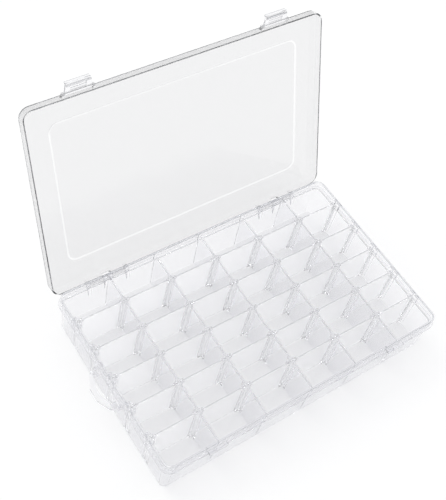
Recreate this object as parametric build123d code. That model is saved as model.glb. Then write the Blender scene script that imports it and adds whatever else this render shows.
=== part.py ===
from build123d import *
import math
import os

# Clear storage box with a hinged lid, thirty lift-out dividers, two latches and a
# hanging tab. X runs along the hinge, +Y points to the hinge side, +Z is up.
# The origin is the middle of the tray's underside. The lid is drawn open.

# Whole box, over the lid's skirt and the tray's flange
box_length = 275.0
box_depth = 172.0
lid_corner_radius = 9.0

# Tray
floor_thickness = 1.6
body_wall = 1.5
rim_wall = 1.5
flange_height = 36.0
flange_thickness = 2.0
flange_edge_cut = 0.5
rim_rise = 7.0
rim_bead = 0.2
rim_bead_height = 1.2
rim_bead_cut = 0.18
ledge_width = 1.1
draft_angle = 2.0
base_edge_cut = 1.2

# Compartments
columns = 6
rows = 6
partition_thickness = 1.4
partition_drop = 0.6
rib_reach = 3.6
rib_nose = 0.6
rib_steps = 3
divider_thickness = 1.2
slot_clearance = 0.2
divider_end_clearance = 0.25
divider_floor_gap = 0.05
divider_corner_cut = 1.5

# Lid
lid_wall = 1.3
lid_plate = 1.3
lid_clearance = 0.4
lid_seat_gap = 0.2
plate_gap = 0.4
lid_edge_radius = 2.0
lid_inner_cut = 0.6
lid_open_angle = 110.0
panel_margin = 21.0
panel_corner_radius = 9.0
panel_rise = 0.5
panel_slope = 1.6

# Lid hinges
hinge_from_end = 49.5
hinge_length = 39.0
hinge_axis_drop = 1.1
hinge_clearance = 0.2
rod_radius = 1.0
rod_clearance = 0.08
clip_wall = 0.9
clip_mouth = 1.6
clip_web_rise = 1.0
lug_radius = 1.9
end_lug_width = 2.4
middle_lug_width = 8.0
lug_drop = 12.0
lug_clearance = 0.3
lug_cover_gap = 0.2
stop_length = 3.2
stop_gap = 0.05
arch_rise = 2.6
arch_corner_radius = 2.2

# Latches
latch_from_end = 47.5
latch_width = 22.4
latch_tip_width = 20.4
latch_thickness = 1.6
latch_gap = 1.2
latch_length = 9.5
latch_pivot_rise = 3.0
latch_droop = 12.0
latch_boss_radius = 1.4
latch_pin_radius = 0.8
latch_lip_height = 1.6
latch_lip_out = 1.4
latch_window_width = 13.6
latch_window_height = 3.0
latch_window_from_tip = 2.9
latch_slit_height = 0.8
latch_slit_from_tip = 7.2
latch_ear_width = 1.8
latch_ear_wall = 0.9
latch_ear_spread = 1.6
pin_clearance = 0.08
side_clearance = 0.2
catch_width = 17.0
catch_depth = 1.6
catch_out = 0.9
hook_height = 1.6
hook_clearance = 0.15

# Hanging tab on the left wall
tab_height = 28.0
tab_thickness = 2.0
tab_half_width = 17.5
tab_reach = 12.0
tab_band = 4.5
tab_shoulder = 6.0
tab_apex_half = 6.0
tab_corner_radius = 2.0
tab_pivot_out = 2.2
tab_pin_radius = 0.8
tab_ear_width = 2.4
tab_ear_wall = 0.9

# A little extra, so that cuts run past the faces that they open
overrun = 1.0

# Levels
rim_top = flange_height + rim_rise
flange_bottom = flange_height - flange_thickness
partition_top = rim_top - partition_drop
skirt_bottom = flange_height + lid_seat_gap
plate_underside = rim_top + plate_gap
lid_top = plate_underside + lid_plate

# Plan sizes
rim_inset = lid_wall + lid_clearance
rim_length = box_length - 2 * rim_inset
rim_depth = box_depth - 2 * rim_inset
rim_radius = lid_corner_radius - rim_inset
inner_length = rim_length - 2 * rim_wall
inner_depth = rim_depth - 2 * rim_wall

# The partitions and dividers stand on one grid with the middle of the rim's wall
column_pitch = (inner_length + rim_wall) / columns
row_pitch = (inner_depth + rim_wall) / rows

# Middles of the hinges and latches, to either side
hinge_offset = box_length / 2 - hinge_from_end
latch_offset = box_length / 2 - latch_from_end

# Hinge axis
clip_radius = rod_radius + rod_clearance + clip_wall
hinge_y = rim_depth / 2 + hinge_clearance + clip_radius
hinge_z = flange_height - hinge_axis_drop
hinge_axis = Axis((0, hinge_y, hinge_z), (1, 0, 0))

# Latch pivot, with the lid closed
latch_y = -(box_depth / 2 + latch_gap + latch_thickness / 2)
latch_z = skirt_bottom + latch_pivot_rise


def rounded_block(length, depth, radius, low, high):
    """An upright block with rounded corners in plan."""
    plan = Plane.XY.offset(low) * RectangleRounded(length, depth, radius)
    return extrude(plan, high - low)


def draft_inset(height_from, height_to):
    """How far a drafted wall leans in between two heights."""
    return (height_to - height_from) * math.tan(math.radians(draft_angle))


def drafted_block(length, depth, radius, low, high):
    """A block that narrows downwards by the draft angle; its size is that of the top."""
    inset = draft_inset(low, high)
    top = Plane.XY.offset(high) * RectangleRounded(length, depth, radius)
    bottom = Plane.XY.offset(low) * RectangleRounded(
        length - 2 * inset, depth - 2 * inset, radius - inset
    )
    return loft([bottom.face(), top.face()], ruled=True)


def body_size(wall):
    """Length, depth and corner radius of the body at the flange, over or inside its wall."""
    grow = wall - ledge_width
    radius = rim_radius - rim_wall + grow
    return inner_length + 2 * grow, inner_depth + 2 * grow, radius


def tray_outside():
    """The solid outside of the tray: drafted body, flange and rim with its bead."""
    length, depth, radius = body_size(body_wall)
    body = drafted_block(length, depth, radius, 0, flange_bottom)
    body = chamfer(body.faces().sort_by(Axis.Z)[0].edges(), base_edge_cut)
    flange = rounded_block(
        box_length, box_depth, lid_corner_radius, flange_bottom, flange_height
    )
    level_edges = flange.edges().filter_by(Plane.XY)
    flange = chamfer(level_edges, flange_edge_cut)
    rim = rounded_block(rim_length, rim_depth, rim_radius, flange_bottom, rim_top)
    bead = rounded_block(
        rim_length + 2 * rim_bead,
        rim_depth + 2 * rim_bead,
        rim_radius + rim_bead,
        rim_top - rim_bead_height,
        rim_top,
    )
    bead = chamfer(bead.edges().filter_by(Plane.XY), rim_bead_cut)
    return body + flange + rim + bead


def tray_cavity():
    """The hollow of the tray: a drafted well with a ledge below the rim."""
    length, depth, radius = body_size(0)
    well = drafted_block(length, depth, radius, floor_thickness, flange_height)
    rim_hollow = rounded_block(
        inner_length, inner_depth, rim_radius - rim_wall, flange_height, rim_top + overrun
    )
    return well + rim_hollow


def end_wall_inside():
    """Distance from the middle to the inside of an end wall at the floor."""
    return body_size(0)[0] / 2 - draft_inset(floor_thickness, flange_height)


def row_lines():
    """The Y of each divider row, from the hinge side to the front."""
    return [(rows / 2 - n) * row_pitch for n in range(1, rows)]


def partition_lines():
    """The X of each fixed partition, from left to right."""
    return [(n - columns / 2) * column_pitch for n in range(1, columns)]


def channel_sides(column):
    """Where a divider of this column meets its left and right walls, at the floor."""
    lines = partition_lines()
    left = -end_wall_inside()
    right = end_wall_inside()
    if column > 0:
        left = lines[column - 1] + partition_thickness / 2
    if column < columns - 1:
        right = lines[column] - partition_thickness / 2
    return left, right


def rib_hollow(face_x, out, near, way):
    """The hollow flank of a rib in plan: a quarter turn from the wall to the nose."""
    middle_x = face_x + out * rib_reach
    middle_y = near + way * (rib_nose + rib_reach)
    points = []
    for step in range(rib_steps + 1):
        turn = math.radians(90 * step / rib_steps)
        points.append(
            (
                middle_x - out * rib_reach * math.cos(turn),
                middle_y - way * rib_reach * math.sin(turn),
            )
        )
    return points


def ribbed_side(face_x, out):
    """Plan points down one side of a wall, with a pair of ribs at each divider slot."""
    half_slot = divider_thickness / 2 + slot_clearance
    nose_x = face_x + out * rib_reach
    points = []
    for y in row_lines():
        rear = y + half_slot
        front = y - half_slot
        points += rib_hollow(face_x, out, rear, 1)
        points += [(nose_x, rear), (face_x, rear), (face_x, front), (nose_x, front)]
        points += rib_hollow(face_x, out, front, -1)[::-1]
    return points


def upright(points):
    """A flat-topped wall over a plan outline, from under the floor to the partitions' tops."""
    outline = make_face(Polyline(*points, close=True))
    return extrude(outline, partition_top)


def partition(x):
    """A fixed partition with its slot ribs on both sides."""
    half = partition_thickness / 2
    end = box_depth / 2
    left = [(x - half, end)] + ribbed_side(x - half, -1) + [(x - half, -end)]
    right = [(x + half, end)] + ribbed_side(x + half, 1) + [(x + half, -end)]
    return upright(left + right[::-1])


def end_wall_ribs(side):
    """The slot ribs of one end wall, on a strip that lies inside the wall."""
    face_x = side * end_wall_inside()
    back_x = side * box_length / 2
    ribs = []
    half_slot = divider_thickness / 2 + slot_clearance
    nose_x = face_x - side * rib_reach
    for y in row_lines():
        for way in (1, -1):
            near = y + way * half_slot
            flank = rib_hollow(face_x, -side, near, way)
            foot_y = flank[0][1]
            corners = [(back_x, foot_y), (back_x, near), (nose_x, near)]
            ribs.append(upright(corners + flank[::-1]))
    return ribs


def side_profile(points):
    """A face in the YZ plane from (y, z) points."""
    return Plane.YZ * make_face(Polyline(*points, close=True))


def slab(profile, middle_x, width):
    """A YZ profile made solid along X, centred on middle_x."""
    return Pos(middle_x, 0, 0) * extrude(profile, width / 2, both=True)


def round_bar(radius, middle, width):
    """A round bar along X; middle is its centre."""
    return Pos(*middle) * Rot(0, 90, 0) * Cylinder(radius, width)


def wall_face_y(z):
    """The outside of the rear wall at a height, as a distance from the middle."""
    return body_size(body_wall)[1] / 2 - draft_inset(z, flange_bottom)


def flange_notch(middle_x):
    """The gap in the flange that a hinge's clips turn in."""
    deep = box_depth / 2 - rim_depth / 2 + overrun
    high = flange_thickness + 2 * overrun
    middle_z = flange_height - flange_thickness / 2
    return Pos(middle_x, rim_depth / 2 + deep / 2, middle_z) * Box(
        hinge_length, deep, high
    )


def hinge_lug(middle_x, width):
    """One lug of a hinge: a gusset on the rear wall that carries the rod."""
    bottom = flange_bottom - lug_drop
    wall = wall_face_y(bottom) - body_wall / 2
    gusset = side_profile(
        [
            (wall, bottom),
            (wall, flange_height),
            (hinge_y, flange_height),
            (hinge_y + lug_radius, hinge_z),
            (hinge_y + lug_radius, hinge_z - lug_radius),
        ]
    )
    return slab(gusset, middle_x, width) + round_bar(
        lug_radius, (middle_x, hinge_y, hinge_z), width
    )


def hinge_stop(middle_x):
    """The wedge on an end lug that the open lid's skirt leans on."""
    flat = box_depth / 2 + stop_gap
    wedge = side_profile(
        [
            (flat, hinge_z),
            (flat, hinge_z + lug_radius + stop_length),
            (hinge_y + lug_radius, hinge_z + lug_radius / 2),
            (hinge_y + lug_radius, hinge_z),
        ]
    )
    return slab(wedge, middle_x, end_lug_width).rotate(hinge_axis, -lid_open_angle)


def lug_places(middle_x):
    """The middle and the width of the three lugs of a hinge."""
    end = hinge_length / 2 - end_lug_width / 2
    return [
        (middle_x - end, end_lug_width),
        (middle_x, middle_lug_width),
        (middle_x + end, end_lug_width),
    ]


def tray_hinge(middle_x):
    """Three lugs and the rod that the lid's clips turn on."""
    rod_length = hinge_length - end_lug_width
    hinge = round_bar(rod_radius, (middle_x, hinge_y, hinge_z), rod_length)
    for x, width in lug_places(middle_x):
        hinge += hinge_lug(x, width)
        if x != middle_x:
            hinge += hinge_stop(x)
    return hinge


def catch(middle_x):
    """The ledge under the front flange that a latch hooks below."""
    bottom = flange_bottom - catch_depth
    front = -(box_depth / 2 + catch_out)
    wall = -(wall_face_y(bottom) - body_wall / 2)
    profile = side_profile(
        [
            (wall, bottom),
            (front, bottom),
            (front, flange_height - flange_edge_cut - catch_out),
            (front + catch_out + flange_edge_cut, flange_height),
            (wall, flange_height),
        ]
    )
    return slab(profile, middle_x, catch_width)


def tab_axis_x():
    """The X of the hanging tab's pins, outside the left wall."""
    wall = body_size(body_wall)[0] / 2 - draft_inset(tab_height, flange_bottom)
    return -(wall + tab_pivot_out)


def tab_ear(side):
    """An ear on the left wall with a hole for one of the tab's pins."""
    radius = tab_pin_radius + pin_clearance + tab_ear_wall
    y = side * (tab_half_width + side_clearance + tab_ear_width / 2)
    reach = tab_pivot_out + body_wall / 2
    ear = Pos(tab_axis_x() + reach / 2, y, tab_height) * Box(
        reach, tab_ear_width, 2 * radius
    )
    lie = Pos(tab_axis_x(), y, tab_height) * Rot(90, 0, 0)
    ear += lie * Cylinder(radius, tab_ear_width)
    return ear - lie * Cylinder(tab_pin_radius + pin_clearance, tab_ear_width)


def tray():
    """The moulded tray with partitions, slot ribs, hinges, catches and tab ears."""
    pockets = tray_cavity()
    walls = [partition(x) for x in partition_lines()]
    for side in (-1, 1):
        walls += end_wall_ribs(side)
    pockets -= walls
    body = tray_outside() - pockets
    for side in (-1, 1):
        body -= flange_notch(side * hinge_offset)
        body += tray_hinge(side * hinge_offset)
        body += catch(side * latch_offset)
        body += tab_ear(side)
    return body


def divider(column, row):
    """A lift-out divider with its two upper corners cut off."""
    left, right = channel_sides(column)
    width = right - left - 2 * divider_end_clearance
    bottom = floor_thickness + divider_floor_gap
    height = partition_top - bottom
    plate = Box(width, divider_thickness, height)
    upper = plate.edges().filter_by(Axis.Y).group_by(Axis.Z)[-1]
    plate = chamfer(upper, divider_corner_cut)
    return Pos((left + right) / 2, row_lines()[row], bottom + height / 2) * plate


def lid_shell():
    """The lid's plate and skirt, closed, with its shallow raised panel."""
    outside = rounded_block(
        box_length, box_depth, lid_corner_radius, skirt_bottom, lid_top
    )
    outside = fillet(outside.faces().sort_by(Axis.Z)[-1].edges(), lid_edge_radius)
    inside = rounded_block(
        box_length - 2 * lid_wall,
        box_depth - 2 * lid_wall,
        lid_corner_radius - lid_wall,
        skirt_bottom - overrun,
        plate_underside,
    )
    inside = chamfer(inside.faces().sort_by(Axis.Z)[-1].edges(), lid_inner_cut)
    return (outside + raised_panel(lid_top)) - inside - raised_panel(plate_underside)


def raised_panel(low):
    """The sloped-edged panel that stands proud of a level by panel_rise."""
    length = box_length - 2 * panel_margin
    depth = box_depth - 2 * panel_margin
    foot = Plane.XY.offset(low) * RectangleRounded(length, depth, panel_corner_radius)
    head = Plane.XY.offset(low + panel_rise) * RectangleRounded(
        length - 2 * panel_slope,
        depth - 2 * panel_slope,
        panel_corner_radius - panel_slope,
    )
    return loft([foot.face(), head.face()], ruled=True)


def hinge_clip(middle_x, width):
    """A clip on the lid's rear skirt that snaps over the tray's rod."""
    skirt = box_depth / 2 - lid_wall / 2
    web_top = hinge_z + clip_radius + clip_web_rise
    shoulder = clip_radius * math.sqrt(0.5)
    web = side_profile(
        [
            (skirt, skirt_bottom),
            (hinge_y, hinge_z),
            (hinge_y + shoulder, hinge_z + shoulder),
            (box_depth / 2, web_top),
            (skirt, web_top),
        ]
    )
    clip = slab(web, middle_x, width)
    clip += round_bar(clip_radius, (middle_x, hinge_y, hinge_z), width)
    clip -= round_bar(rod_radius + rod_clearance, (middle_x, hinge_y, hinge_z), width)
    mouth = Pos(middle_x, hinge_y, hinge_z - clip_radius / 2)
    return clip - mouth * Box(width, clip_mouth, clip_radius)


def lid_hinge(middle_x):
    """The two clips of one hinge, which fill the gaps between the tray's lugs."""
    gap = (hinge_length - middle_lug_width) / 2 - end_lug_width
    step = (middle_lug_width + gap) / 2
    clips = [
        hinge_clip(middle_x + side * step, gap - 2 * lug_clearance) for side in (-1, 1)
    ]
    return clips[0] + clips[1]


def skirt_notches(middle_x):
    """The gaps in the rear skirt over a hinge's lugs; the middle one is an arch."""
    over_lug = hinge_z + lug_radius + lug_cover_gap
    notches = []
    for x, width in lug_places(middle_x):
        top = over_lug if x != middle_x else skirt_bottom + arch_rise
        high = top - skirt_bottom + overrun
        middle = Pos(x, box_depth / 2 - lid_wall / 2, top - high / 2)
        notch = Box(width + 2 * lug_clearance, lid_wall + 2 * overrun, high)
        if x == middle_x:
            upper = notch.edges().filter_by(Axis.Y).group_by(Axis.Z)[-1]
            notch = fillet(upper, arch_corner_radius)
        notches.append(middle * notch)
    return notches


def latch_ears(middle_x):
    """The pair of ears on the lid's front skirt that hold a latch's pins."""
    hole = latch_pin_radius + pin_clearance
    radius = hole + latch_ear_wall
    inner = latch_width / 2 + side_clearance
    skirt = -(box_depth / 2 - lid_wall / 2)
    ears = None
    for side in (-1, 1):
        foot = inner + latch_ear_width + latch_ear_spread
        root = Plane.XY.offset(latch_z - radius) * make_face(
            Polyline(
                (middle_x + side * inner, skirt),
                (middle_x + side * foot, skirt),
                (middle_x + side * foot, -box_depth / 2),
                (middle_x + side * (inner + latch_ear_width), latch_y),
                (middle_x + side * inner, latch_y),
                close=True,
            )
        )
        x = middle_x + side * (inner + latch_ear_width / 2)
        ear = extrude(root, 2 * radius)
        ear += round_bar(radius, (x, latch_y, latch_z), latch_ear_width)
        ear -= round_bar(hole, (x, latch_y, latch_z), latch_ear_width + 2 * overrun)
        ears = ear if ears is None else ears + ear
    return ears


def closed_lid():
    """The lid with its hinge clips, notches and latch ears, shut."""
    lid = lid_shell()
    for side in (-1, 1):
        lid -= skirt_notches(side * hinge_offset)
        lid += lid_hinge(side * hinge_offset)
        lid += latch_ears(side * latch_offset)
    return lid


def latch_blank(middle_x):
    """The latch's section along its whole width: plate, boss, hook and finger lip."""
    inner = latch_y + latch_thickness / 2
    outer = latch_y - latch_thickness / 2
    tip = latch_z - latch_length
    hook_top = flange_bottom - catch_depth - hook_clearance
    hook_in = -box_depth / 2
    plate = side_profile(
        [
            (inner, latch_z),
            (inner, hook_top),
            (hook_in, hook_top),
            (inner, hook_top - hook_height),
            (inner, tip),
            (outer - latch_lip_out, tip),
            (outer - latch_lip_out, tip + latch_lip_height / 2),
            (outer, tip + latch_lip_height),
            (outer, latch_z),
        ]
    )
    blank = slab(plate, middle_x, latch_width)
    return blank + round_bar(
        latch_boss_radius, (middle_x, latch_y, latch_z), latch_width
    )


def latch_cuts(middle_x):
    """The window, the slit and the two tapered sides, as tools."""
    tip = latch_z - latch_length
    deep = 2 * (latch_thickness + latch_lip_out + overrun)
    cuts = []
    for height, start in (
        (latch_window_height, latch_window_from_tip),
        (latch_slit_height, latch_slit_from_tip),
    ):
        middle = (middle_x, latch_y, tip + start + height / 2)
        cuts.append(Pos(*middle) * Box(latch_window_width, deep, height))
    for side in (-1, 1):
        wide = middle_x + side * latch_width / 2
        slim = middle_x + side * latch_tip_width / 2
        shoulder = latch_z - latch_boss_radius
        wedge = Plane.XZ.offset(-latch_y) * make_face(
            Polyline(
                (wide, shoulder),
                (wide + side * overrun, shoulder),
                (wide + side * overrun, tip - overrun),
                (slim, tip - overrun),
                (slim, tip),
                close=True,
            )
        )
        cuts.append(extrude(wedge, deep / 2, both=True))
    return cuts


def closed_latch(middle_x):
    """A latch snapped shut below its catch, with its two pins."""
    pins = round_bar(
        latch_pin_radius,
        (middle_x, latch_y, latch_z),
        latch_width + 2 * (side_clearance + latch_ear_width),
    )
    return latch_blank(middle_x) - latch_cuts(middle_x) + pins


def open_latch(middle_x):
    """A latch swung out, on the open lid."""
    pivot = Axis((middle_x, latch_y, latch_z), (1, 0, 0))
    swung = closed_latch(middle_x).rotate(pivot, latch_droop - 90)
    return swung.rotate(hinge_axis, -lid_open_angle)


def tab_outline(half_width, shoulder, reach, apex_half):
    """The half-hexagon of the hanging tab in plan, measured outwards from its pins."""
    x = tab_axis_x()
    corners = [
        (x, half_width),
        (x - shoulder, half_width),
        (x - reach, apex_half),
        (x - reach, -apex_half),
        (x - shoulder, -half_width),
        (x, -half_width),
    ]
    face = make_face(Polyline(*corners, close=True))
    turned = face.vertices().sort_by(Axis.X)[:4]
    return fillet(turned, tab_corner_radius)


def hanging_tab():
    """A flat loop that swings on two pins below the left flange."""
    low = tab_height - tab_thickness / 2
    outer = tab_outline(tab_half_width, tab_shoulder, tab_reach, tab_apex_half)
    inner = tab_outline(
        tab_half_width - tab_band,
        tab_shoulder - tab_band / 2,
        tab_reach - tab_band,
        tab_apex_half - tab_band / 2,
    )
    loop = Pos(0, 0, low) * extrude(outer - inner, tab_thickness)
    foot = tab_half_width - tab_band / 2
    for side in (-1, 1):
        lie = Pos(tab_axis_x(), side * foot, tab_height) * Rot(90, 0, 0)
        loop += lie * Cylinder(tab_thickness / 2, tab_band)
        pin_length = tab_band / 2 + side_clearance + tab_ear_width
        pin = Pos(tab_axis_x(), side * (foot + pin_length / 2), tab_height)
        loop += pin * Rot(90, 0, 0) * Cylinder(tab_pin_radius, pin_length)
    return loop


def write(name, shape):
    """Save one node and say how large it is."""
    export_step(shape, os.path.join("parts", name + ".step"))
    box = shape.bounding_box()
    print(name, len(shape.solids()), [round(v, 2) for v in (*box.min, *box.max)])


def main():
    os.makedirs("parts", exist_ok=True)
    write("tray", tray())
    write("lid", closed_lid().rotate(hinge_axis, -lid_open_angle))
    write("latch_left", open_latch(-latch_offset))
    write("latch_right", open_latch(latch_offset))
    write("hanging_tab", hanging_tab())
    for column in range(columns):
        letter = "abcdef"[column]
        for row in range(rows - 1):
            write(f"divider_{letter}{row + 1}", divider(column, row))


main()
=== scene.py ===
# %% [markdown]
# # A clear compartment box
# The box is moulded from clear plastic: a tray with a grid of compartments, a hinged
# lid, two latches, thirty lift-out dividers and a small hanging tab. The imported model
# already has all of these as solids with their real walls, so no piece is modelled
# here. This lesson is about its looks: how to make a pale, clear object readable on a
# white sheet, at every pose of its lid, latches, tab and dividers.

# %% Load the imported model
import math

import bmesh
import bpy
from mathutils import Matrix, Vector

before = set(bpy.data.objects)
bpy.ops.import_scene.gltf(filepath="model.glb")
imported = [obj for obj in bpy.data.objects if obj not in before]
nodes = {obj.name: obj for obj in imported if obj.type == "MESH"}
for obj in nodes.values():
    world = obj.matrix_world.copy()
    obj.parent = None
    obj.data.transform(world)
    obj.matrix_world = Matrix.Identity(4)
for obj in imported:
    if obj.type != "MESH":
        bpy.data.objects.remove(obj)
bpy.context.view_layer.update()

# %% [markdown]
# ## Camera
# The picture was taken from the front left, well above the box, with the camera
# rolled a little. One could move the camera by eye, but the edges of the tray and the
# lid are straight and long, so a fit of those edges gives the angles, the distance and
# the focal length together. The focal length is in pixels of a frame of 446 x 500, and
# Blender gives the sensor's width to the longer side.

# %% Camera
FRAME_WIDTH, FRAME_HEIGHT = 446, 500
AZIMUTH, ELEVATION, ROLL = -44.98, 51.17, 14.69
DISTANCE = 0.99424
TARGET = Vector((0.09385, 0.17071, -0.06985))
FOCAL_PIXELS = 955.71
CENTRE_OFFSET = (-10.53, -47.23)
SENSOR = 36.0
NEAREST, FARTHEST = 0.01, 20.0


def camera_axes(azimuth, elevation, roll):
    """Right, up and back of a camera, as unit vectors."""
    az, el, ro = (math.radians(v) for v in (azimuth, elevation, roll))
    back = Vector((math.sin(az) * math.cos(el), -math.cos(az) * math.cos(el), math.sin(el)))
    right = (-back).cross(Vector((0, 0, 1))).normalized()
    up = right.cross(-back)
    return (
        right * math.cos(ro) + up * math.sin(ro),
        up * math.cos(ro) - right * math.sin(ro),
        back,
    )


def add_camera():
    """The scene's camera, placed by the fit."""
    data = bpy.data.cameras.new("camera")
    camera = bpy.data.objects.new("camera", data)
    bpy.context.scene.collection.objects.link(camera)
    axes = camera_axes(AZIMUTH, ELEVATION, ROLL)
    turn = Matrix(axes).transposed().to_4x4()
    place = Matrix.Translation(TARGET + axes[2] * DISTANCE)
    camera.matrix_world = place @ turn
    longest = max(FRAME_WIDTH, FRAME_HEIGHT)
    data.sensor_width = SENSOR
    data.lens = FOCAL_PIXELS * SENSOR / longest
    data.shift_x = -CENTRE_OFFSET[0] / longest
    data.shift_y = CENTRE_OFFSET[1] / longest
    data.clip_start, data.clip_end = NEAREST, FARTHEST
    bpy.context.scene.camera = camera
    return camera


camera = add_camera()
print("lens", round(camera.data.lens, 2), "mm")

# %% [markdown]
# ## Shader helper
# A material is a tree of nodes, and every sum in it is a node too. Adding those by
# hand hides what is worked out. So one small class wraps a node's socket and gives it
# the signs of arithmetic, and `1 - mask * 0.5` adds the Math nodes that it needs. All
# other nodes come from `Tree.new`, which takes a kind, its settings and its values.

# %% Shader helper


class Wire:
    """A node socket that can be used in sums."""

    def __init__(self, tree, socket):
        self.tree = tree
        self.socket = socket

    def math(self, operation, *values):
        node = self.tree.new("ShaderNodeMath", {"operation": operation}, values)
        return node.out("Value")

    def __add__(self, other):
        return self.math("ADD", self, other)

    def __radd__(self, other):
        return self.math("ADD", other, self)

    def __sub__(self, other):
        return self.math("SUBTRACT", self, other)

    def __rsub__(self, other):
        return self.math("SUBTRACT", other, self)

    def __mul__(self, other):
        return self.math("MULTIPLY", self, other)

    def __rmul__(self, other):
        return self.math("MULTIPLY", other, self)


class Made:
    """A node that was added, with its outputs by name or order."""

    def __init__(self, tree, node):
        self.tree = tree
        self.node = node

    def out(self, name):
        return Wire(self.tree, self.node.outputs[name])


class Tree:
    """A node tree that nodes are added to."""

    def __init__(self, tree):
        self.tree = tree
        tree.nodes.clear()

    def new(self, kind, settings=None, values=()):
        """Adds a node: its settings first, then its values or links, by name or order."""
        node = self.tree.nodes.new(kind)
        for name, value in (settings or {}).items():
            if name == "stops":
                self.set_stops(node, value)
            else:
                setattr(node, name, value)
        pairs = values.items() if isinstance(values, dict) else enumerate(values)
        for name, value in pairs:
            socket = node.inputs[name]
            if isinstance(value, Wire):
                self.tree.links.new(value.socket, socket)
            else:
                socket.default_value = value
        return Made(self, node)

    def set_stops(self, node, stops):
        """Gives a colour ramp its stops, as (place, colour) pairs."""
        ramp = node.color_ramp.elements
        while len(ramp) < len(stops):
            ramp.new(1.0)
        for element, (place, colour) in zip(ramp, stops):
            element.position = place
            element.color = colour


print("signs for sockets: + - *")

# %% [markdown]
# ## Small parts of masks
# A mask is a number that is one where a finish belongs and zero elsewhere. Painting
# one would need a picture. The places here are plain boxes and rings in the box's own
# sizes, so a few comparisons on the Object coordinates find them. These coordinates
# ride with each solid, so nothing slides when the lid turns.

# %% Small parts of masks
# The Mix node has sockets for each kind of data; these are the places of the colours.
MIX_FACTOR, MIX_FIRST, MIX_SECOND, MIX_RESULT = 0, 6, 7, 2
WHITE = (1.0, 1.0, 1.0, 1.0)


def mixed(tree, factor, first, second):
    """One colour turning into the other with the factor."""
    values = {MIX_FACTOR: factor, MIX_FIRST: first, MIX_SECOND: second}
    return tree.new("ShaderNodeMix", {"data_type": "RGBA"}, values).out(MIX_RESULT)


def over(value, limit):
    """One where the value is over the limit."""
    return value.math("GREATER_THAN", value, limit)


def under(value, limit):
    """One where the value is under the limit."""
    return value.math("LESS_THAN", value, limit)


def larger(first, second):
    """The larger of two values."""
    return first.math("MAXIMUM", first, second)


def size_of(value):
    """The value without its sign."""
    return value.math("ABSOLUTE", value)


def split(tree, place):
    """The three parts of a vector."""
    parts = tree.new("ShaderNodeSeparateXYZ", {}, {"Vector": place})
    return parts.out("X"), parts.out("Y"), parts.out("Z")


print("mask parts: over, under, larger, size_of")

# %% [markdown]
# ## Ribs and floor of the tray
# Pairs of thin ribs hold the dividers. A ray runs through many faces there, and with
# the walls' tint each pair would be a dark column, while in the picture the ribs are
# soft and pale. So they get no tint, and neither does the floor. The ribs stand on
# every row line, so the Ping-Pong operation, which here turns Y into the distance from
# the nearest line, finds them all at once.

# %% Ribs and floor of the tray
ROW_PITCH = 0.02785
ROW_LINES_HALF = 2.5 * ROW_PITCH
RIB_HALF = 0.0034
RIB_REGION_HALF_X = 0.1321
RIB_FOOT, RIB_TOP = 0.0022, 0.0425
FLOOR_TOP = 0.0017


def clear_mask(tree, place):
    """One on the ribs that hold the dividers and on the tray's floor."""
    x, y, z = split(tree, place)
    from_row = y.math("PINGPONG", y, ROW_PITCH / 2)
    inside = under(size_of(x), RIB_REGION_HALF_X) * under(size_of(y), ROW_LINES_HALF)
    level = over(z, RIB_FOOT) * under(z, RIB_TOP)
    ribs = under(from_row, RIB_HALF) * inside * level
    return larger(ribs, under(z, FLOOR_TOP))


print("ribs on row lines", round(ROW_PITCH * 1000, 2), "mm apart")

# %% [markdown]
# ## Top of the tray's rim
# The rim is 7 mm high and 1.5 mm thick. From above one looks down the length of that
# wall, so on the real box its top is a grey line. Glass without any tint would leave
# it white, and tinting the whole tray would grey the floor. So that grey is painted:
# the last millimetre of the rim gets a darker colour, a painted shade.

# %% Top of the tray's rim
RIM_LOW = 0.0419
RIM_HALF_X, RIM_HALF_Y = 0.1341, 0.0826


def rim_shade_mask(tree, place):
    """One on the top of the tray's rim, where a grey shade is painted."""
    x, y, z = split(tree, place)
    outside = larger(over(size_of(x), RIM_HALF_X), over(size_of(y), RIM_HALF_Y))
    return outside * over(z, RIM_LOW)


print("rim's grey top from", RIM_LOW * 1000, "mm up")

# %% [markdown]
# ## Slope round the lid's panel
# The middle of the lid is raised by half a millimetre, and the slope round it shows
# in the picture as a thin bright line, strongest on the right. The slope is in the
# solid, but its two faces are parallel, so it hardly bends what lies behind and shows
# only faintly. So the tint is left off the slope, and against the lid's grey that
# paints the bright line in, a painted highlight. The lid is packed open, so a
# Mapping node first turns the coordinates back about the hinge, and then the distance
# to a rounded rectangle gives a ring.

# %% Slope round the lid's panel
HINGE = Vector((0.0, 0.08648, 0.0349))
LID_OPEN = math.radians(110.0)
PANEL_HALF_X, PANEL_HALF_Y, PANEL_RADIUS = 0.1165, 0.065, 0.009
PANEL_SLOPE = 0.0016
SKIRT_TOP = 0.042


def edge_distance(x, y):
    """How far a point lies outside the panel's rounded outline, negative inside."""
    across = size_of(x) - (PANEL_HALF_X - PANEL_RADIUS)
    along = size_of(y) - (PANEL_HALF_Y - PANEL_RADIUS)
    out_x, out_y = larger(across, 0.0), larger(along, 0.0)
    corner = out_x.math("SQRT", out_x * out_x + out_y * out_y)
    deeper = larger(across, along)
    return corner + deeper.math("MINIMUM", deeper, 0.0) - PANEL_RADIUS


def panel_highlight_mask(tree, place):
    """One on the slope round the lid's panel, where a highlight is painted, found in the
    shut lid's frame.
    """
    shift = HINGE - Matrix.Rotation(LID_OPEN, 3, "X") @ HINGE
    shut = tree.new(
        "ShaderNodeMapping",
        {"vector_type": "POINT"},
        {"Vector": place, "Rotation": (LID_OPEN, 0.0, 0.0), "Location": shift},
    ).out("Vector")
    x, y, z = split(tree, shut)
    edge = edge_distance(x, y)
    return over(edge, -PANEL_SLOPE) * under(edge, 0.0) * over(z, SKIRT_TOP)


print("panel", PANEL_HALF_X * 2000, "x", PANEL_HALF_Y * 2000, "mm")

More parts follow.
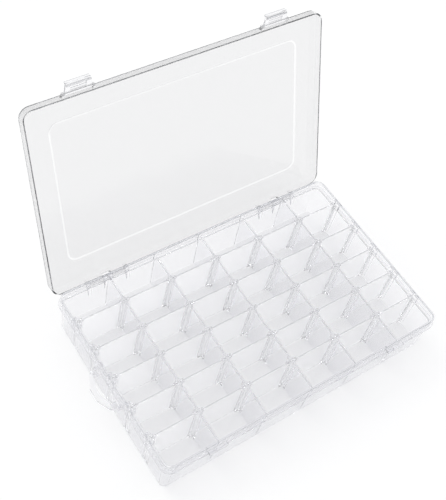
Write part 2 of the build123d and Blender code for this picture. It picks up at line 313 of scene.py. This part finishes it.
# %% [markdown]
# ## Underside of the tray
# A ray that enters a rib from the side is trapped in the floor between its two
# polished faces, and the rib's foot turns very dark, while the picture's are pale. The
# underside can't be seen there. The guess made here is that the table has worn it
# matt, so it scatters a part of the light, as the Translucent shader does, and sends
# that part up the ribs.

# %% Underside of the tray
UNDERSIDE_TOP = 0.0003
UNDERSIDE_MILK = 0.6


def underside_milk(tree, place):
    """How matt the tray is: only on its underside."""
    height = split(tree, place)[2]
    return under(height, UNDERSIDE_TOP) * UNDERSIDE_MILK


print("matt share of the underside", UNDERSIDE_MILK)

# %% [markdown]
# ## Clear plastic
# Clear moulded plastic bends light nearly as window glass does. It takes a little of
# it at each face, which is the tint, and a little more where a ray runs a long way
# inside, which is the absorption. Handling leaves a faint haze, uneven like a cloud,
# so a noise pattern adds to the roughness.
#
# Glass in a renderer stops the rays that look for the lamp, so it casts a full shadow.
# If only those rays are let through, the floor turns too bright, because light that
# bounces out through rough glass is then counted as well. So the rays that carry shadow
# and the ones that carry bounced light both go straight through a Transparent shader
# with a set loss, and the light in the box is counted once.

# %% Clear plastic
PLASTIC_IOR = 1.46
DEPTH_TINT = (0.62, 0.66, 0.72, 1.0)
DEPTH_DENSITY = 3.0
CLOUD_SCALE, CLOUD_DETAIL, CLOUD_HAZE = 40.0, 3.0, 0.03
MILK_TINT = (0.965, 0.965, 0.972, 1.0)


def even(value):
    """A tint or a share that is the same all over."""
    return lambda tree, place: value


def polished(tree, place, tint, haze):
    """The glossy, see-through part of the plastic."""
    cloud = tree.new(
        "ShaderNodeTexNoise",
        {"noise_dimensions": "3D"},
        {"Vector": place, "Scale": CLOUD_SCALE, "Detail": CLOUD_DETAIL},
    ).out("Fac")
    values = {
        "Base Color": tint(tree, place),
        "Roughness": haze + cloud * CLOUD_HAZE,
        "IOR": PLASTIC_IOR,
        "Transmission Weight": 1.0,
    }
    return tree.new("ShaderNodeBsdfPrincipled", {}, values).out("BSDF")


def blended(tree, share, first, second):
    """One shader turning into the other with the share."""
    return tree.new("ShaderNodeMixShader", {}, (share, first, second)).out("Shader")


def clear_plastic(name, tint, loss, haze, milk=None):
    """A material; tint, haze and milk are the plastic's, loss is what its shadow keeps."""
    material = bpy.data.materials.new(name)
    material.use_nodes = True
    tree = Tree(material.node_tree)
    place = tree.new("ShaderNodeTexCoord").out("Object")
    shader = polished(tree, place, tint, haze)
    if milk:
        glow = tree.new("ShaderNodeBsdfTranslucent", {}, {"Color": MILK_TINT}).out("BSDF")
        shader = blended(tree, milk(tree, place), shader, glow)
    passing = tree.new("ShaderNodeBsdfTransparent", {}, {"Color": loss}).out("BSDF")
    path = tree.new("ShaderNodeLightPath")
    straight = larger(path.out("Is Shadow Ray"), path.out("Is Diffuse Ray"))
    depth = tree.new(
        "ShaderNodeVolumeAbsorption", {}, {"Color": DEPTH_TINT, "Density": DEPTH_DENSITY}
    ).out("Volume")
    surface = blended(tree, straight, shader, passing)
    tree.new("ShaderNodeOutputMaterial", {}, {"Surface": surface, "Volume": depth})
    print(name, "has", len(material.node_tree.nodes), "nodes")
    return material


print("clear plastic with a refractive index of", PLASTIC_IOR)

# %% [markdown]
# ## The four plastics
# The real pieces may all be one plastic, but they don't look alike in the picture. The
# tray has many walls behind each other, so its tint is weak. The lid is a single plate
# and reads as an even pale grey, so its tint is stronger. The latches are as clear as
# the tray. The dividers look a little milky, so four tenths of their shader scatter
# the light. The numbers were found by trying them against the picture's tones.

# %% The four plastics
TRAY_TINT = (0.965, 0.965, 0.975, 1.0)
# Painted shade: the darker colour on the rim's top stands in for the grey of looking down
# the wall.
RIM_PAINTED_SHADE = (0.72, 0.725, 0.75, 1.0)
TRAY_SHADOW = (0.957, 0.957, 0.962, 1.0)
TRAY_HAZE = 0.06
LID_TINT = (0.88, 0.88, 0.883, 1.0)
LID_SHADOW = (0.98, 0.98, 0.98, 1.0)
LID_HAZE = 0.07
DIVIDER_SHADOW = (0.965, 0.965, 0.965, 1.0)
DIVIDER_HAZE = 0.15
DIVIDER_MILK = 0.42


def tray_tint_and_rim_shade(tree, place):
    """The tray's tint, clear on ribs and floor, with a painted shade on the rim's top."""
    walls = mixed(tree, clear_mask(tree, place), TRAY_TINT, WHITE)
    # The rim's top takes the painted shade.
    return mixed(tree, rim_shade_mask(tree, place), walls, RIM_PAINTED_SHADE)


def lid_tint_and_highlight(tree, place):
    """The lid's tint, left off the slope round its panel to paint a bright line there."""
    # Painted highlight: the untinted slope reads as a bright line round the panel.
    return mixed(tree, panel_highlight_mask(tree, place), LID_TINT, WHITE)


plastics = {
    "tray": clear_plastic("tray plastic", tray_tint_and_rim_shade, TRAY_SHADOW, TRAY_HAZE, underside_milk),
    "lid": clear_plastic("lid plastic", lid_tint_and_highlight, LID_SHADOW, LID_HAZE),
    "latch": clear_plastic("latch plastic", even(TRAY_TINT), TRAY_SHADOW, TRAY_HAZE),
    "divider": clear_plastic(
        "divider plastic", even(MILK_TINT), DIVIDER_SHADOW, DIVIDER_HAZE, even(DIVIDER_MILK)
    ),
}

# %% [markdown]
# ## Dressing the solids
# Each solid keeps its mesh and its place, and only its material changes. The first
# word of a node's name says which plastic it takes. The hanging tab looks as clear as
# the tray, so it takes the tray's.

# %% Dressing the solids
for name, node in nodes.items():
    plastic = plastics.get(name.split("_")[0], plastics["tray"])
    for slot in node.material_slots:
        slot.material = plastic
print("dressed", len(nodes), "solids in", len(plastics), "plastics")

# %% [markdown]
# ## Floor
# The box stands on a white sheet that runs out of the picture on all sides. A white
# background could be made by stronger lamps, but these would burn out the pale
# plastic. So the sheet is nearly white, and it glows a little for the eye alone, also
# through glass and in reflections. The glow lights nothing, and the box's shadow
# stays. The sheet lies a hair below the tray, so that two faces never share one place.

# %% Floor
FLOOR_COLOUR = (0.9, 0.9, 0.9, 1.0)
FLOOR_LIFT = 0.04
FLOOR_GAP = 0.0004
FLOOR_HALF = 6.0


def sheet_material():
    """White paper with a glow that only the eye sees."""
    material = bpy.data.materials.new("white sheet")
    material.use_nodes = True
    tree = Tree(material.node_tree)
    path = tree.new("ShaderNodeLightPath")
    seen = larger(path.out("Is Camera Ray"), path.out("Is Glossy Ray"))
    seen = larger(seen, path.out("Is Transmission Ray"))
    paper = tree.new("ShaderNodeBsdfDiffuse", {}, {"Color": FLOOR_COLOUR}).out("BSDF")
    lift = {"Color": WHITE, "Strength": seen * FLOOR_LIFT}
    glow = tree.new("ShaderNodeEmission", {}, lift).out("Emission")
    both = tree.new("ShaderNodeAddShader", {}, (paper, glow)).out("Shader")
    tree.new("ShaderNodeOutputMaterial", {}, {"Surface": both})
    return material


def add_floor():
    """A large white sheet under the box."""
    sheet = bmesh.new()
    bmesh.ops.create_grid(sheet, x_segments=1, y_segments=1, size=FLOOR_HALF)
    bmesh.ops.translate(sheet, verts=sheet.verts, vec=(0, 0, -FLOOR_GAP))
    mesh = bpy.data.meshes.new("floor")
    sheet.to_mesh(mesh)
    sheet.free()
    mesh.materials.append(sheet_material())
    floor = bpy.data.objects.new("floor", mesh)
    bpy.context.scene.collection.objects.link(floor)
    return floor


floor = add_floor()
print("floor", round(floor.dimensions.x, 1), "m wide")

# %% [markdown]
# ## Sky
# Clear edges are drawn by what they bend into view. Under an even sky they would
# vanish, so the sky is pale behind the box on the left and half as bright on the other
# side, and the edges that bend or mirror that side turn grey. The sky is so soft that
# the rays which reach it by themselves are enough, so it isn't sampled as a lamp too.

# %% Sky
SKY_DARK = (0.42, 0.43, 0.45, 1.0)
SKY_PALE = (0.8, 0.8, 0.8, 1.0)
SKY_BACK = (-0.6, 0.6, 0.5)
DARK_UP_TO, PALE_FROM = 0.3, 0.6


def add_sky():
    """A sky that is pale at the back left and darker at the front right."""
    world = bpy.data.worlds.new("sky")
    world.use_nodes = True
    bpy.context.scene.world = world
    world.cycles.sampling_method = "NONE"
    tree = Tree(world.node_tree)
    direction = tree.new("ShaderNodeTexCoord").out("Generated")
    back = tree.new(
        "ShaderNodeVectorMath", {"operation": "DOT_PRODUCT"}, (direction, SKY_BACK)
    ).out("Value")
    stops = [(DARK_UP_TO, SKY_DARK), (PALE_FROM, SKY_PALE), (1.0, SKY_PALE)]
    # A ramp runs from 0 to 1, and the product from -1 to 1.
    ramp = tree.new("ShaderNodeValToRGB", {"stops": stops}, {"Fac": back * 0.5 + 0.5})
    light = {"Color": ramp.out("Color"), "Strength": 1.0}
    shine = tree.new("ShaderNodeBackground", {}, light).out("Background")
    tree.new("ShaderNodeOutputWorld", {}, {"Surface": shine})


add_sky()
print("sky from", SKY_DARK[0], "in front to", SKY_PALE[0], "behind")

# %% [markdown]
# ## Sun
# In the picture a faint soft shadow lies in front of the box, so the main light
# stands behind it, about 50 degrees up. A distant lamp with a wide disc gives a shadow
# with a soft edge. The lamp isn't seen in reflections or through the plastic, because
# its mirror image would burn a white patch into the shut lid.

# %% Sun
SUN_SIDE = Vector((-0.2, 0.62, 0.76))
SUN_SPREAD, SUN_STRENGTH = 25.0, 1.5


def add_sun(name, toward, spread, strength):
    """A soft distant lamp in the direction given."""
    data = bpy.data.lights.new(name, "SUN")
    data.angle = math.radians(spread)
    data.energy = strength
    data.cycles.use_multiple_importance_sampling = False
    lamp = bpy.data.objects.new(name, data)
    bpy.context.scene.collection.objects.link(lamp)
    lamp.rotation_mode = "QUATERNION"
    lamp.rotation_quaternion = (-toward).to_track_quat("-Z", "Y")
    lamp.visible_glossy = lamp.visible_transmission = False
    return lamp


sun = add_sun("key", SUN_SIDE, SUN_SPREAD, SUN_STRENGTH)
print("sun", sun.data.energy, "W per square metre")

# %% [markdown]
# ## Finish
# A look through the whole box crosses dozens of faces, and a ray that runs out of
# bounces turns black, so the limits are raised.

# %% Finish
BOUNCES = 32

scene = bpy.context.scene
scene.view_settings.view_transform = "Standard"
scene.cycles.max_bounces = BOUNCES
scene.cycles.transmission_bounces = BOUNCES
scene.cycles.glossy_bounces = BOUNCES
scene.cycles.transparent_max_bounces = BOUNCES
